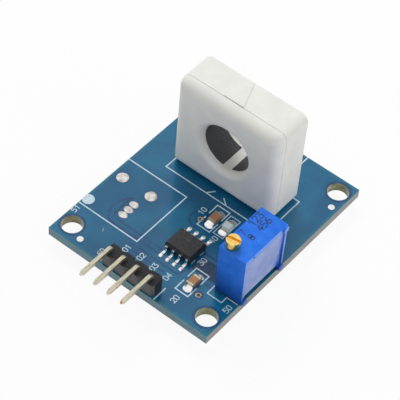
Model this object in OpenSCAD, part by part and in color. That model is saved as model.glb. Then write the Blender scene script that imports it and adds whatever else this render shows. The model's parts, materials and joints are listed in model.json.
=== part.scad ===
// Current sensor module: a ring sensor with a round opening for the wire, standing on a small
// circuit board with a comparator, a trimmer, an indicator lamp and a four-pin plug header.
// Millimetres. +X runs along the board's front edge, +Y to the back, +Z up. The origin is the
// centre of the four mounting holes, on the board's underside.

/* [Board] */
// Width of the board, along the plug header's edge
board_w = 30; // [29:0.5:40]
// Depth of the board, front to back
board_d = 37; // [36:0.5:50]
// Thickness of the board
board_t = 1.6; // [1:0.1:2.4]
// Diameter of the four mounting holes
mount_hole_d = 3.4; // [2.6:0.1:3.6]
// Mounting hole centres from the side edges
mount_hole_side = 2.2; // [2:0.1:3]
// Mounting hole centres from the front edge
mount_hole_front = 2.75; // [2:0.05:3]
// Mounting hole centres from the back edge
mount_hole_back = 2.5; // [2:0.05:3]
// Length of pin left below the board
tail = 1.4; // [1.1:0.1:2.5]

/* [Ring sensor] */
// Width of the sensor's housing
sensor_w = 19; // [18.5:0.1:22]
// Depth of the sensor's housing, front to back
sensor_d = 7.3; // [7:0.1:10]
// Height of the sensor's housing
sensor_h = 17.9; // [17.6:0.1:22]
// Diameter of the opening that the wire goes through
bore_d = 8.5; // [7:0.1:9]
// Middle of the sensor from the board's left edge
sensor_x = 14.4; // [13:0.1:15]
// Front face of the sensor from the board's front edge
sensor_y = 22.1; // [21.8:0.1:24]
// Gap between the housing and the board
sensor_lift = 0.3; // [0.1:0.1:1]
// Thickness of the front cover at its outer edge
cover_t = 1.9; // [1.6:0.1:2.5]
// Thickness of the front cover's lip at the bore
cover_lip = 1.2; // [1:0.1:1.5]
// Thickness of the housing's back wall
back_wall = 1.5; // [1.2:0.1:2]
// Rounding of the front edges
front_round = 1.5; // [0.6:0.1:1.8]
// Rounding of the back edges
back_round = 0.5; // [0.4:0.1:1.5]
// Rounding of the four corners that the front view shows
corner_round = 1; // [0.6:0.1:1.8]
// Rounding of the bore's two rims
rim_round = 1.1; // [0.5:0.1:1.4]
// Least wall between the magnetic core and the housing's outer faces
core_wall = 1.05; // [1:0.05:1.6]
// Width of the slot in the core, where the sensing chip sits
core_gap = 1.7; // [1.6:0.1:2.4]
// Middle of the core's slot, right of the opening's middle
core_gap_side = 0.3; // [0:0.1:0.6]
// Base width of the raised arrow on top
arrow_w = 3.7; // [2:0.1:6]
// Middle of the raised arrow, left of the opening's middle
arrow_side = 0.3; // [0:0.1:1]
// Height of the raised arrow above the top face
arrow_h = 0.25; // [0.1:0.05:0.5]

/* [Trimmer] */
// Size of the trimmer across the board's edge
trimmer_w = 4.8; // [4.8:0.05:6]
// Length of the trimmer along the board's edge
trimmer_l = 9.7; // [9.6:0.1:12]
// Height of the trimmer's top face above the board
trimmer_h = 9.8; // [9.7:0.1:12]
// Front face of the trimmer from the board's front edge
trimmer_y = 7.5; // [7:0.1:9]
// Overhang of the trimmer past the board's right edge
trimmer_out = 0.2; // [0:0.1:0.4]
// Height of the trimmer's underside above the board, between its two ends
trimmer_under = 1.2; // [0.8:0.1:1.4]
// Screw axis from the trimmer's front and left faces
screw_inset = 1.35; // [1.3:0.05:1.5]
// Diameter of the screw's head
screw_head_d = 2.2; // [2:0.05:2.4]
// Height of the screw's head above the housing
screw_head_h = 1.5; // [1:0.1:2]
// Number of teeth on the rotor that the screw drives
rotor_teeth = 33; // [20:1:40]

/* [Header and chips] */
// Middle of the first header pin from the board's left edge
header_x = 10.95; // [10:0.05:11.5]
// Middle of the header from the board's front edge
header_y = 1.42; // [1.3:0.01:1.8]
// Number of header pins
header_pins = 4; // [4:1:4]
// Side of a header pin
pin_side = 0.6; // [0.5:0.02:0.7]
// Reach of the header pins, from their upright part to the tip
pin_reach = 6.9; // [5:0.1:9]
// Middle of the comparator from the trimmer's left face
comparator_side = 7.8; // [7:0.1:8]
// Middle of the comparator from the board's front edge
comparator_y = 10.35; // [10:0.05:10.6]
// Middle of the first capacitor from the trimmer's left face
cap_1_side = 8.05; // [8:0.05:9]
// Middle of the first capacitor from the board's front edge
cap_1_y = 17.55; // [17:0.05:18]
// Middle of the second capacitor from the trimmer's left face
cap_2_side = 2.9; // [2:0.1:4]
// Middle of the second capacitor from the board's front edge
cap_2_y = 6.2; // [5.5:0.1:6.5]
// Middle of the lamp from the trimmer's left face
lamp_side = 5.65; // [5:0.05:6]
// Middle of the lamp from the board's front edge
lamp_y = 17.6; // [17:0.05:18]

/* [Hidden] */
$fn = 48;

// Colours as the real pieces have them
mask_blue = [0.12, 0.38, 0.56];
housing_ivory = [0.88, 0.88, 0.85];
core_grey = [0.24, 0.24, 0.25];
tinned = [0.85, 0.84, 0.78];
solder_grey = [0.8, 0.81, 0.82];
plastic_black = [0.13, 0.13, 0.14];
trimmer_blue = [0.13, 0.36, 0.85];
brass = [0.9, 0.7, 0.3];

// Cutters run this far past the faces that they open
over = 1;
// Clearance between pieces that are slipped together, on each side
slip = 0.05;

// The board's underside is at zero, and its holes are centred on the origin
mount_pitch_x = board_w - 2 * mount_hole_side;
mount_pitch_y = board_d - mount_hole_front - mount_hole_back;
board_left = -mount_pitch_x / 2 - mount_hole_side;
board_front = -mount_pitch_y / 2 - mount_hole_front;
tail_end = -board_t - tail;
trimmer_x = board_w - trimmer_w + trimmer_out;
via_d = 0.55;
via_1_side = 9.7;
via_2_side = 1;
via_at = [[trimmer_x - via_1_side, 16.3], [trimmer_x - via_2_side, 5.05]];

// Plated holes: the pins stand in solder that fills them
lead_side = 0.4;
lead_hole_d = 0.8;
pitch_fine = 1.27;
pitch_pin = 2.54;
pin_hole_d = 1.1;
post_d = 1;
post_hole_d = 1.3;
terminal_d = 0.5;
terminal_hole_d = 0.8;
solder_rise = 0.9;
solder_flare = 0.35;
solder_flare_fine = 0.15;

// Empty places beside the sensor, for another make of the same part, filled with solder
spare_big_at = [[1.75, 14.7], [7.35, 14.7]];
spare_small_x = 6.55;
spare_small_y = 9.2;
spare_big_hole_d = 1.2;
spare_big_pad_d = 1.8;
spare_small_hole_d = 0.6;
spare_small_pad_d = 0.95;
spare_dome = 0.12;

// Ring sensor, in a frame with its middle on the bore's axis at the front face
bore_z = sensor_lift + sensor_h / 2;
core_d = min(sensor_w, sensor_h) - 2 * core_wall;
core_len = sensor_d - back_wall - cover_lip;
core_room_d = core_d + 2 * slip;
chip_bridge = 1;
chip_t = core_gap - 4 * slip;
chip_w = core_len - 6 * slip;
chip_top = -bore_d / 2 - chip_bridge;
chip_h = core_d / 2 + chip_top;
sensor_mid_y = cover_lip + core_len / 2;
post_side = 0.4 * sensor_w;
post_depth = 3;
arrow_l = sensor_d - cover_t - back_round;

// Trimmer, in a frame at the lower left front corner of its housing
trimmer_wall = 0.5;
trimmer_foot = 0.3;
trimmer_end = 1;
trimmer_floor = trimmer_under + trimmer_wall;
seal_sink = 0.25;
seal_t = 0.8;
seal_rim = 0.4;
seal_lift = 0.2;
seal_from = trimmer_foot + seal_lift;
pit_d = 0.4;
pit_drop = 0.4;
pit_front = 1.9;
pit_back = 1.3;
pit_at = [[pit_front, trimmer_h - pit_drop], [trimmer_l - pit_back, trimmer_h - pit_drop]];
element_t = 0.64;
element_back = trimmer_w - seal_sink - seal_t;
element_front = element_back - element_t;
worm_d = 1.8;
screw_bore_d = 2.1;
screw_shaft_d = screw_bore_d - 2 * slip;
screw_root_d = 1.2;
screw_foot_d = 1;
screw_foot_wall = 0.2;
screw_foot_z = trimmer_under + screw_foot_wall;
o_ring_t = 0.34;
o_ring_r = screw_bore_d / 2 - slip / 2 - o_ring_t / 2;
worm_pitch = 0.6;
worm_turns = 8;
worm_flank = 0.35;
screw_chamfer = 0.15;
screw_slot_w = 0.45;
screw_slot_deep = 0.6;
screw_slot_turn = 10;
rotor_r = 3.1;
rotor_t = 1.2;
rotor_room = 0.25;
rotor_room_r = rotor_r + rotor_room;
tooth_deep = 0.3;
tooth_root = 0.16;
tooth_mouth = 0.6;
rotor_y = screw_inset + worm_d / 2 + slip + rotor_r;
rotor_z = trimmer_floor + rotor_room_r;
rotor_pin_d = 1.6;
roof_z = rotor_z + rotor_room_r;
o_ring_z = (roof_z + trimmer_h) / 2;
wiper_t = 0.15;
wiper_tip_r = 2.2;
wiper_rim = 0.3;
wiper_finger_w = 0.6;
nub_d = 1.1;
nub_h = 0.3;
terminal_x = (element_front + element_back) / 2;
notch_w = 0.9;

// Header
header_h = 2.45;
header_d = 2.5;
header_cut = 0.45;
header_end_cut = 0.6;
pin_bend = 0.45;
pin_tip = 0.5;
pin_cut = 0.17;
header_first = header_x - pitch_pin / 2;

// Comparator, a chip with two rows of four leads
lead_columns = 4;
comparator_x = trimmer_x - comparator_side;
comparator_w = 4.9;
comparator_d = 3.9;
comparator_lift = 0.1;
comparator_h = 1.45;
comparator_draft = 0.2;
gull_w = 0.42;
gull_t = 0.2;
gull_span = 6;
gull_foot = 0.65;
gull_bend = 0.25;

// Solder at the chip's feet and at the ends of the two-ended parts
foot_solder_w = 0.6;
foot_solder_l = 0.65;
foot_solder_h = 0.25;
end_solder_l = 0.7;
end_solder_h = 0.55;

// Chip capacitors and the lamp share one outline
chip_part_w = 1.25;
chip_part_l = 2;
chip_cap_l = 0.35;
chip_part_h = 0.85;
cap_1_at = [trimmer_x - cap_1_side, cap_1_y];
cap_2_at = [trimmer_x - cap_2_side, cap_2_y];
lamp_at = [trimmer_x - lamp_side, lamp_y];
lamp_base_h = 0.3;
lamp_lens_h = 0.45;
lamp_lens_l = 1.3;
lamp_lens_slope = 0.1;

// Moves its children to the board's front left corner, on its top face
module on_board(at = [0, 0]) {
    translate([board_left + at[0], board_front + at[1], board_t]) children();
}

// Moves its children to the bore's axis at the sensor's front face
module on_sensor() {
    on_board([sensor_x, sensor_y]) translate([0, 0, bore_z]) children();
}

// Moves its children to the trimmer's lower left front corner
module on_trimmer() {
    on_board([trimmer_x, trimmer_y]) children();
}

// Lays what is drawn upright so that it points along +Y
module along_y() {
    rotate([-90, 0, 0]) children();
}

// A rectangle from the origin with its four corners rounded, two radii
module rounded(w, d, r_low, r_high) {
    translate([r_low, 0]) square([w - 2 * r_low, d / 2]);
    translate([0, r_low]) square([w, d - r_low - r_high]);
    translate([r_high, d / 2]) square([w - 2 * r_high, d / 2]);
    for (side = [0, 1]) {
        translate([side ? w - r_low : r_low, r_low]) circle(r_low);
        translate([side ? w - r_high : r_high, d - r_high]) circle(r_high);
    }
}

// All points where a pin goes through the board, with the hole's diameter
header_holes = [for (i = [0:header_pins - 1]) [header_x + i * pitch_pin, header_y, pin_hole_d]];
hall_holes = [for (i = [-1:1]) [sensor_x + core_gap_side, sensor_y + sensor_mid_y + i * pitch_fine,
                                lead_hole_d]];
post_holes = [for (s = [-1, 1]) [sensor_x + s * post_side, sensor_y + sensor_mid_y, post_hole_d]];
trimmer_holes = [for (i = [-1:1]) [trimmer_x + terminal_x, trimmer_y + trimmer_l / 2 + i * pitch_pin,
                                   terminal_hole_d]];
spare_holes = [for (p = spare_big_at) [p[0], p[1], spare_big_hole_d],
               for (i = [0:2]) [spare_small_x, spare_small_y + i * pitch_fine, spare_small_hole_d]];

// The board with every hole through it
module circuit_board() {
    color(mask_blue) difference() {
        on_board() translate([0, 0, -board_t]) cube([board_w, board_d, board_t]);
        for (x = [-1, 1], y = [-1, 1]) {
            translate([x * mount_pitch_x / 2, y * mount_pitch_y / 2, -over])
                cylinder(d = mount_hole_d, h = board_t + 2 * over);
        }
        for (hole = concat(header_holes, hall_holes, post_holes, trimmer_holes, spare_holes)) {
            on_board(hole) translate([0, 0, -board_t - over])
                cylinder(d = hole[2], h = board_t + 2 * over);
        }
        for (p = via_at) {
            on_board(p) translate([0, 0, -board_t - over])
                cylinder(d = via_d, h = board_t + 2 * over);
        }
    }
}

// A solder plug in a plated hole, with a low dome and a flat pad on each face
module filled_hole(hole_d, pad_d) {
    translate([0, 0, -board_t]) cylinder(d = hole_d, h = board_t);
    cylinder(d1 = pad_d, d2 = hole_d, h = spare_dome);
    translate([0, 0, -board_t - spare_dome]) cylinder(d1 = hole_d, d2 = pad_d, h = spare_dome);
}

// The five filled places of the empty footprint
module spare_pad_solder() {
    color(solder_grey) {
        for (p = spare_big_at) on_board(p) filled_hole(spare_big_hole_d, spare_big_pad_d);
        for (i = [0:2]) {
            on_board([spare_small_x, spare_small_y + i * pitch_fine])
                filled_hole(spare_small_hole_d, spare_small_pad_d);
        }
    }
}

// Solder round a pin: it fills the hole and climbs the pin below the board. The child is the pin.
module soldered(hole_d, pin_w, flare = solder_flare) {
    difference() {
        union() {
            translate([0, 0, -board_t]) cylinder(d = hole_d, h = board_t);
            translate([0, 0, -board_t - solder_rise])
                cylinder(d1 = pin_w + 4 * slip, d2 = hole_d + 2 * flare, h = solder_rise);
        }
        children();
    }
}

// A square prism through the board, as a cutter for a square pin
module square_way(side) {
    translate([-side / 2, -side / 2, tail_end - over]) cube([side, side, tail + board_t + 2 * over]);
}

// The housing's outer form between two depths: three rounded outlines crossed
module sensor_form(from, to) {
    intersection() {
        translate([-sensor_w / 2, to, -sensor_h / 2]) rotate([90, 0, 0])
            linear_extrude(to - from) rounded(sensor_w, sensor_h, corner_round, corner_round);
        translate([-sensor_w / 2, 0, -sensor_h / 2]) linear_extrude(sensor_h)
            rounded(sensor_w, sensor_d, front_round, back_round);
        translate([-sensor_w / 2, 0, -sensor_h / 2]) rotate([90, 0, 90])
            linear_extrude(sensor_w) sensor_side();
    }
}

// The housing seen from its side, with soft front edges and crisp back edges
module sensor_side() {
    translate([sensor_d, 0]) rotate(90) rounded(sensor_h, sensor_d, back_round, front_round);
}

// What the bore cuts away at one face: a straight hole with a rounded rim
module bore_rim() {
    along_y() rotate_extrude() difference() {
        square([bore_d / 2 + rim_round, rim_round]);
        translate([bore_d / 2 + rim_round, rim_round]) circle(rim_round);
    }
}

// The front half of the housing: a shallow cap with the bore's front rim
module sensor_cover() {
    color(housing_ivory) on_sensor() difference() {
        sensor_form(0, cover_t);
        translate([0, -over, 0]) along_y() cylinder(d = bore_d, h = cover_t + 2 * over);
        bore_rim();
        translate([0, cover_lip, 0]) along_y() cylinder(d = core_room_d, h = cover_t);
        chip_slot(cover_lip, cover_t + over);
    }
}

// The rear half of the housing: a cup that holds the core, with the arrow on its top
module sensor_case() {
    color(housing_ivory) on_sensor() {
        difference() {
            sensor_form(cover_t, sensor_d);
            along_y() cylinder(d = core_room_d, h = sensor_d - back_wall);
            along_y() cylinder(d = bore_d, h = sensor_d + over);
            translate([0, sensor_d, 0]) mirror([0, 1, 0]) bore_rim();
            chip_slot(0, sensor_mid_y + chip_w / 2 + slip);
            for (s = [-1, 1]) {
                translate([s * post_side, sensor_mid_y, -sensor_h / 2 - over])
                    cylinder(d = post_d, h = post_depth + over);
            }
        }
        chip_bridge_bar();
        top_arrow();
    }
}

// The slot below the core through which the chip and its leads go in
module chip_slot(from, to) {
    translate([core_gap_side - core_gap / 2, from, -sensor_h / 2 - over])
        cube([core_gap, to - from, sensor_h / 2 + over - core_d / 2 + slip]);
}

// The bar that closes the core's slot towards the bore, moulded on the back wall
module chip_bridge_bar() {
    difference() {
        translate([core_gap_side + slip - core_gap / 2, cover_lip, chip_top])
            cube([core_gap - 2 * slip, core_len + slip, chip_bridge + bore_d / 8]);
        along_y() cylinder(d = bore_d, h = sensor_d);
    }
}

// The raised arrow: it points along the bore, from the seam towards the back
module top_arrow() {
    translate([-arrow_side, cover_t, sensor_h / 2 - arrow_h]) linear_extrude(2 * arrow_h)
        polygon([[-arrow_w / 2, 0], [arrow_w / 2, 0], [0, arrow_l]]);
}

// The magnetic core: a ring with one slot, cut right through at the bottom
module flux_core() {
    color(core_grey) on_sensor() translate([0, cover_lip, 0]) difference() {
        along_y() cylinder(d = core_d, h = core_len);
        translate([0, -over, 0]) along_y() cylinder(d = bore_d, h = core_len + 2 * over);
        translate([core_gap_side - core_gap / 2, -over, -core_d])
            cube([core_gap, core_len + 2 * over, core_d]);
    }
}

// The sensing chip in the core's slot
module hall_chip() {
    color(plastic_black) on_sensor()
        translate([core_gap_side - chip_t / 2, sensor_mid_y - chip_w / 2, chip_top - chip_h])
            cube([chip_t, chip_w, chip_h]);
}

// A lead of the sensing chip, from the chip down through the board
module hall_lead(i) {
    top = board_t + bore_z + chip_top - chip_h;
    at = hall_holes[i];
    color(tinned) translate([board_left + at[0] - lead_side / 2, board_front + at[1] - lead_side / 2, -tail])
        cube([lead_side, lead_side, top + tail]);
}

// A round post that carries the housing, pressed into it from below
module sensor_post(i) {
    at = post_holes[i];
    color(tinned) on_board(at) translate([0, 0, tail_end])
        cylinder(d = post_d, h = sensor_lift + post_depth - tail_end);
}

// Solder at the sensor's three leads and two posts
module sensor_solder() {
    color(solder_grey) {
        for (hole = hall_holes) {
            on_board(hole) soldered(hole[2], lead_side, solder_flare_fine) square_way(lead_side);
        }
        for (hole = post_holes) {
            on_board(hole) soldered(hole[2], post_d) translate([0, 0, tail_end])
                cylinder(d = post_d, h = tail - tail_end + over);
        }
    }
}

// The header's black strip: one eight-sided block for each pin, joined in a row, snapped off short
// at its left end
module header_body() {
    color(plastic_black) on_board([header_first, header_y - header_d / 2]) difference() {
        linear_extrude(header_h) for (i = [0:header_pins - 1]) {
            translate([i * pitch_pin, 0]) polygon([
                [0, header_cut], [header_cut, 0], [pitch_pin - header_cut, 0], [pitch_pin, header_cut],
                [pitch_pin, header_d - header_cut], [pitch_pin - header_cut, header_d],
                [header_cut, header_d], [0, header_d - header_cut]]);
        }
        for (i = [0:header_pins - 1]) {
            translate([(i + 0.5) * pitch_pin - pin_side / 2, (header_d - pin_side) / 2, -over])
                cube([pin_side, pin_side, header_h + 2 * over]);
        }
        translate([-over, -over, -over])
            cube([header_end_cut + over, header_d + 2 * over, header_h + 2 * over]);
    }
}

// A header pin: upright through the strip, then bent forward over it and past the board's edge
module header_pin(i) {
    half = pin_side / 2;
    bend_y = -half - pin_bend;
    color(tinned) on_board(header_holes[i]) {
        translate([-half, -half, tail_end]) cube([pin_side, pin_side, header_h - tail_end]);
        translate([-half, bend_y, header_h]) rotate([90, 0, 90])
            rotate_extrude(angle = 90) translate([pin_bend, 0]) square(pin_side);
        translate([-half, bend_y, header_h + pin_bend]) rotate([90, 0, 0])
            cube([pin_side, pin_side, pin_reach - pin_tip + bend_y]);
        translate([0, pin_tip - pin_reach, header_h + pin_bend + half]) pin_point();
    }
}

// The tapered point of a header pin, pointing to -Y
module pin_point() {
    small = pin_side / 2 - pin_cut;
    half = pin_side / 2;
    intersection() {
        translate([-half, 0, 0]) rotate([90, 0, 90]) linear_extrude(pin_side)
            polygon([[0, -half], [0, half], [-pin_tip, small], [-pin_tip, -small]]);
        translate([0, 0, -half]) linear_extrude(pin_side)
            polygon([[-half, 0], [half, 0], [small, -pin_tip], [-small, -pin_tip]]);
    }
}

// Solder at the four header pins
module header_solder() {
    color(solder_grey) for (hole = header_holes) on_board(hole) soldered(hole[2], pin_side)
        square_way(pin_side);
}

// Moves its children to the comparator's middle, on the board
module on_comparator() {
    on_board([comparator_x, comparator_y]) children();
}

// An outline that is widest at half its height, as a moulded chip is
module moulded_side(w) {
    half = comparator_h / 2;
    translate([0, comparator_lift + half]) polygon([
        [-w / 2 + comparator_draft, -half], [w / 2 - comparator_draft, -half], [w / 2, 0],
        [w / 2 - comparator_draft, half], [-w / 2 + comparator_draft, half], [-w / 2, 0]]);
}

// The comparator's moulded body
module comparator_body() {
    color(plastic_black) on_comparator() intersection() {
        translate([0, comparator_d, 0]) rotate([90, 0, 0])
            linear_extrude(2 * comparator_d) moulded_side(comparator_w);
        translate([-comparator_w, 0, 0]) rotate([90, 0, 90])
            linear_extrude(2 * comparator_w) moulded_side(comparator_d);
    }
}

// Middle of a lead's column from the comparator's middle
function column_x(column) = (column - (lead_columns - 1) / 2) * pitch_fine;

// A bent lead of the comparator: from the body's middle down to a flat foot on the board
module comparator_lead(i) {
    side = i < lead_columns ? -1 : 1;
    column = i < lead_columns ? i : 2 * lead_columns - 1 - i;
    knee = comparator_lift + comparator_h / 2;
    toe = gull_span / 2;
    heel = toe - gull_foot;
    start = comparator_d / 2;
    color(tinned) on_comparator() translate([column_x(column) - gull_w / 2, 0, 0])
        rotate([90, 0, 90]) linear_extrude(gull_w) scale([side, 1]) polygon([
            [start - comparator_draft * gull_t / comparator_h, knee + gull_t / 2],
            [start, knee], [start - comparator_draft * gull_t / comparator_h, knee - gull_t / 2],
            [start + gull_bend / 2, knee - gull_t / 2], [heel - gull_bend / 2, gull_t / 2],
            [heel, 0], [toe, 0], [toe, gull_t], [heel + gull_bend / 3, gull_t],
            [start + gull_bend, knee + gull_t / 2]]);
}

// A chip capacitor's ceramic block, between its two end caps
module capacitor_body(at) {
    color([0.6, 0.4, 0.25]) on_board(at)
        translate([-chip_part_w / 2, chip_cap_l - chip_part_l / 2, 0])
            cube([chip_part_w, chip_part_l - 2 * chip_cap_l, chip_part_h]);
}

// A tinned end cap: side is -1 at the front and 1 at the back
module end_cap(at, side, h) {
    color(tinned) on_board(at)
        translate([-chip_part_w / 2, side * (chip_part_l - chip_cap_l) / 2 - chip_cap_l / 2, 0])
            cube([chip_part_w, chip_cap_l, h]);
}

// The lamp's white base plate
module lamp_base() {
    color([0.86, 0.9, 0.84]) on_board(lamp_at)
        translate([-chip_part_w / 2, chip_cap_l - chip_part_l / 2, 0])
            cube([chip_part_w, chip_part_l - 2 * chip_cap_l, lamp_base_h]);
}

// The lamp's clear lens, with sloping ends
module lamp_lens() {
    half = lamp_lens_l / 2;
    top = half - lamp_lens_slope;
    color([0.8, 0.92, 0.84]) on_board(lamp_at) translate([-chip_part_w / 2, 0, lamp_base_h])
        rotate([90, 0, 90]) linear_extrude(chip_part_w) polygon([
            [-half, 0], [half, 0], [top, lamp_lens_h], [-top, lamp_lens_h]]);
}

// A solder wedge on the board, its tall side at the origin and its thin edge towards -Y
module wedge(w, l, h) {
    translate([-w / 2, 0, 0]) rotate([90, 0, 90]) linear_extrude(w)
        polygon([[0, 0], [0, h], [-l / 3, h / 2], [-l, h / 8], [-l, 0]]);
}

// Solder on the board's face: at the comparator's eight feet and at the three two-ended parts
module chip_solder() {
    color(solder_grey) {
        for (column = [0:lead_columns - 1], side = [0, 1]) {
            on_comparator() mirror([0, side, 0]) translate([column_x(column), -gull_span / 2, 0])
                wedge(foot_solder_w, foot_solder_l, foot_solder_h);
        }
        for (at = [cap_1_at, cap_2_at, lamp_at], side = [0, 1]) {
            on_board(at) mirror([0, side, 0]) translate([0, -chip_part_l / 2, 0])
                wedge(chip_part_w, end_solder_l, at == lamp_at ? lamp_base_h : end_solder_h);
        }
    }
}

// What is cut from under the trimmer, between the two ends that it stands on
module trimmer_underside() {
    translate([-over, trimmer_end, -over])
        cube([trimmer_w + 2 * over, trimmer_l - 2 * trimmer_end, trimmer_under + over]);
}

// The trimmer's moulded housing, open towards +X, with the lugs at three corners of that side
module trimmer_housing() {
    color(trimmer_blue) on_trimmer() {
        difference() {
            trimmer_block();
            trimmer_underside();
            trimmer_rooms();
            // the two pits below its top edge
            for (at = pit_at) {
                translate([trimmer_w - seal_rim, at[0], at[1]]) rotate([0, 90, 0])
                    cylinder(d = pit_d, h = over);
            }
        }
        for (at = [[nub_d / 2, nub_d / 2], [trimmer_l - nub_d / 2, nub_d / 2],
                   [trimmer_l - nub_d / 2, trimmer_h - nub_d / 2]]) {
            translate([element_back + seal_t, at[0], at[1]]) rotate([0, 90, 0])
                cylinder(d = nub_d, h = seal_sink + nub_h);
        }
    }
}

// The trimmer's outer form, with a foot under each corner
module trimmer_block() {
    translate([0, 0, trimmer_foot]) cube([trimmer_w, trimmer_l, trimmer_h - trimmer_foot]);
    for (x = [0, trimmer_w - trimmer_end], y = [0, trimmer_l - trimmer_end]) {
        translate([x, y, 0]) cube([trimmer_end, trimmer_end, trimmer_foot]);
    }
}

// What is hollow in the trimmer's housing
module trimmer_rooms() {
    // the recess that the seal fills
    translate([element_back, seal_rim, seal_from]) cube([
        trimmer_w, trimmer_l - 2 * seal_rim, trimmer_h - seal_from - 2 * seal_rim]);
    // the shelf that the element lies on
    translate([element_front, trimmer_wall, trimmer_floor]) cube([
        element_t + over, trimmer_l - 2 * trimmer_wall, roof_z - trimmer_floor]);
    // the round room for the rotor, round the pin that it turns on
    difference() {
        translate([trimmer_wall, rotor_y, rotor_z]) rotate([0, 90, 0])
            cylinder(r = rotor_room_r, h = element_front - trimmer_wall + over);
        translate([0, rotor_y, rotor_z]) rotate([0, 90, 0])
            cylinder(d = rotor_pin_d, h = trimmer_wall + rotor_t);
    }
    // the bore for the screw, with a blind hole for its foot
    translate([screw_inset, screw_inset, trimmer_floor])
        cylinder(d = screw_bore_d, h = trimmer_h);
    translate([screw_inset, screw_inset, screw_foot_z - slip])
        cylinder(d = screw_foot_d + 2 * slip, h = trimmer_floor);
    // the notches that the terminals come out of
    for (i = [-1:1]) {
        translate([terminal_x - notch_w / 2, trimmer_l / 2 + i * pitch_pin - notch_w / 2, 0])
            cube([trimmer_w, notch_w, trimmer_floor]);
    }
}

// The cast seal that closes the open side
module trimmer_seal() {
    color([0.58, 0.62, 0.85]) on_trimmer() difference() {
        translate([element_back, seal_rim, seal_from])
            cube([seal_t, trimmer_l - 2 * seal_rim, trimmer_h - seal_from - 2 * seal_rim]);
        trimmer_underside();
    }
}

// The ceramic plate that carries the resistance track
module trimmer_element() {
    color([0.93, 0.92, 0.88]) on_trimmer()
        translate([element_front, trimmer_wall + slip, trimmer_floor])
            cube([element_t, trimmer_l - 2 * trimmer_wall - 2 * slip, roof_z - trimmer_floor - slip]);
}

// A terminal wire, from the element's lower edge down through the board
module trimmer_terminal(i) {
    at = trimmer_holes[i];
    color(tinned) on_board(at) translate([0, 0, tail_end])
        cylinder(d = terminal_d, h = trimmer_floor - tail_end);
}

// Solder at the trimmer's three terminals
module trimmer_solder() {
    color(solder_grey) for (hole = trimmer_holes) on_board(hole) soldered(hole[2], terminal_d)
        translate([0, 0, tail_end]) cylinder(d = terminal_d, h = tail - tail_end + over);
}

// Half the screw's outline, from its foot to its head
module screw_outline() {
    worm_from = rotor_z - worm_turns / 2 * worm_pitch;
    foot_top = trimmer_floor + slip;
    shaft_from = roof_z - slip;
    groove_half = o_ring_t / 2 + slip / 2;
    polygon(concat(
        [[0, screw_foot_z], [screw_foot_d / 2, screw_foot_z], [screw_foot_d / 2, foot_top],
         [screw_root_d / 2, foot_top], [screw_root_d / 2, worm_from]],
        [for (k = [0:worm_turns - 1]) each [
            [screw_root_d / 2, worm_from + k * worm_pitch],
            [worm_d / 2, worm_from + (k + worm_flank) * worm_pitch],
            [worm_d / 2, worm_from + (k + 1 - worm_flank) * worm_pitch],
            [screw_root_d / 2, worm_from + (k + 1) * worm_pitch]]],
        [[screw_root_d / 2, shaft_from], [screw_shaft_d / 2, shaft_from],
         [screw_shaft_d / 2, o_ring_z - groove_half], [o_ring_r - o_ring_t / 2, o_ring_z - groove_half],
         [o_ring_r - o_ring_t / 2, o_ring_z + groove_half], [screw_shaft_d / 2, o_ring_z + groove_half],
         [screw_shaft_d / 2, trimmer_h + slip], [screw_head_d / 2, trimmer_h + slip],
         [screw_head_d / 2, trimmer_h + screw_head_h - screw_chamfer],
         [screw_head_d / 2 - screw_chamfer, trimmer_h + screw_head_h],
         [0, trimmer_h + screw_head_h]]));
}

// The adjusting screw: a slotted head, a grooved neck and a worm
module trimmer_screw() {
    color(brass) on_trimmer() translate([screw_inset, screw_inset, 0]) difference() {
        rotate_extrude() screw_outline();
        translate([0, 0, trimmer_h + screw_head_h]) rotate(screw_slot_turn)
            cube([2 * screw_head_d, screw_slot_w, 2 * screw_slot_deep], center = true);
    }
}

// The ring seal in the screw's groove
module trimmer_o_ring() {
    color([0.75, 0.3, 0.2]) on_trimmer() translate([screw_inset, screw_inset, o_ring_z])
        rotate_extrude() translate([o_ring_r, 0]) circle(d = o_ring_t);
}

// The toothed rotor that the worm turns
module trimmer_rotor() {
    color([0.93, 0.93, 0.9]) on_trimmer()
        translate([screw_inset - rotor_t / 2, rotor_y, rotor_z]) rotate([0, 90, 0])
            linear_extrude(rotor_t) difference() {
                circle(r = rotor_r);
                circle(d = rotor_pin_d + 2 * slip);
                for (k = [0:rotor_teeth - 1]) {
                    rotate(360 * (k + 0.5) / rotor_teeth) polygon([
                        [rotor_r - tooth_deep, -tooth_root / 2], [rotor_r - tooth_deep, tooth_root / 2],
                        [rotor_r + tooth_deep, tooth_mouth / 2], [rotor_r + tooth_deep, -tooth_mouth / 2]]);
                }
            }
}

// The spring contact on the rotor: a disc and a bent finger that reaches the element
module trimmer_wiper() {
    face_x = screw_inset + rotor_t / 2;
    reach = element_front - face_x - slip;
    color([0.85, 0.6, 0.35]) on_trimmer() translate([face_x, rotor_y, rotor_z]) {
        rotate([0, 90, 0]) difference() {
            cylinder(r = wiper_tip_r + wiper_rim, h = wiper_t);
            translate([0, 0, -over]) cylinder(d = rotor_pin_d + 4 * slip, h = 2 * over);
        }
        translate([0, -wiper_finger_w / 2, wiper_tip_r - wiper_t]) cube([reach, wiper_finger_w, wiper_t]);
    }
}

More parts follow.
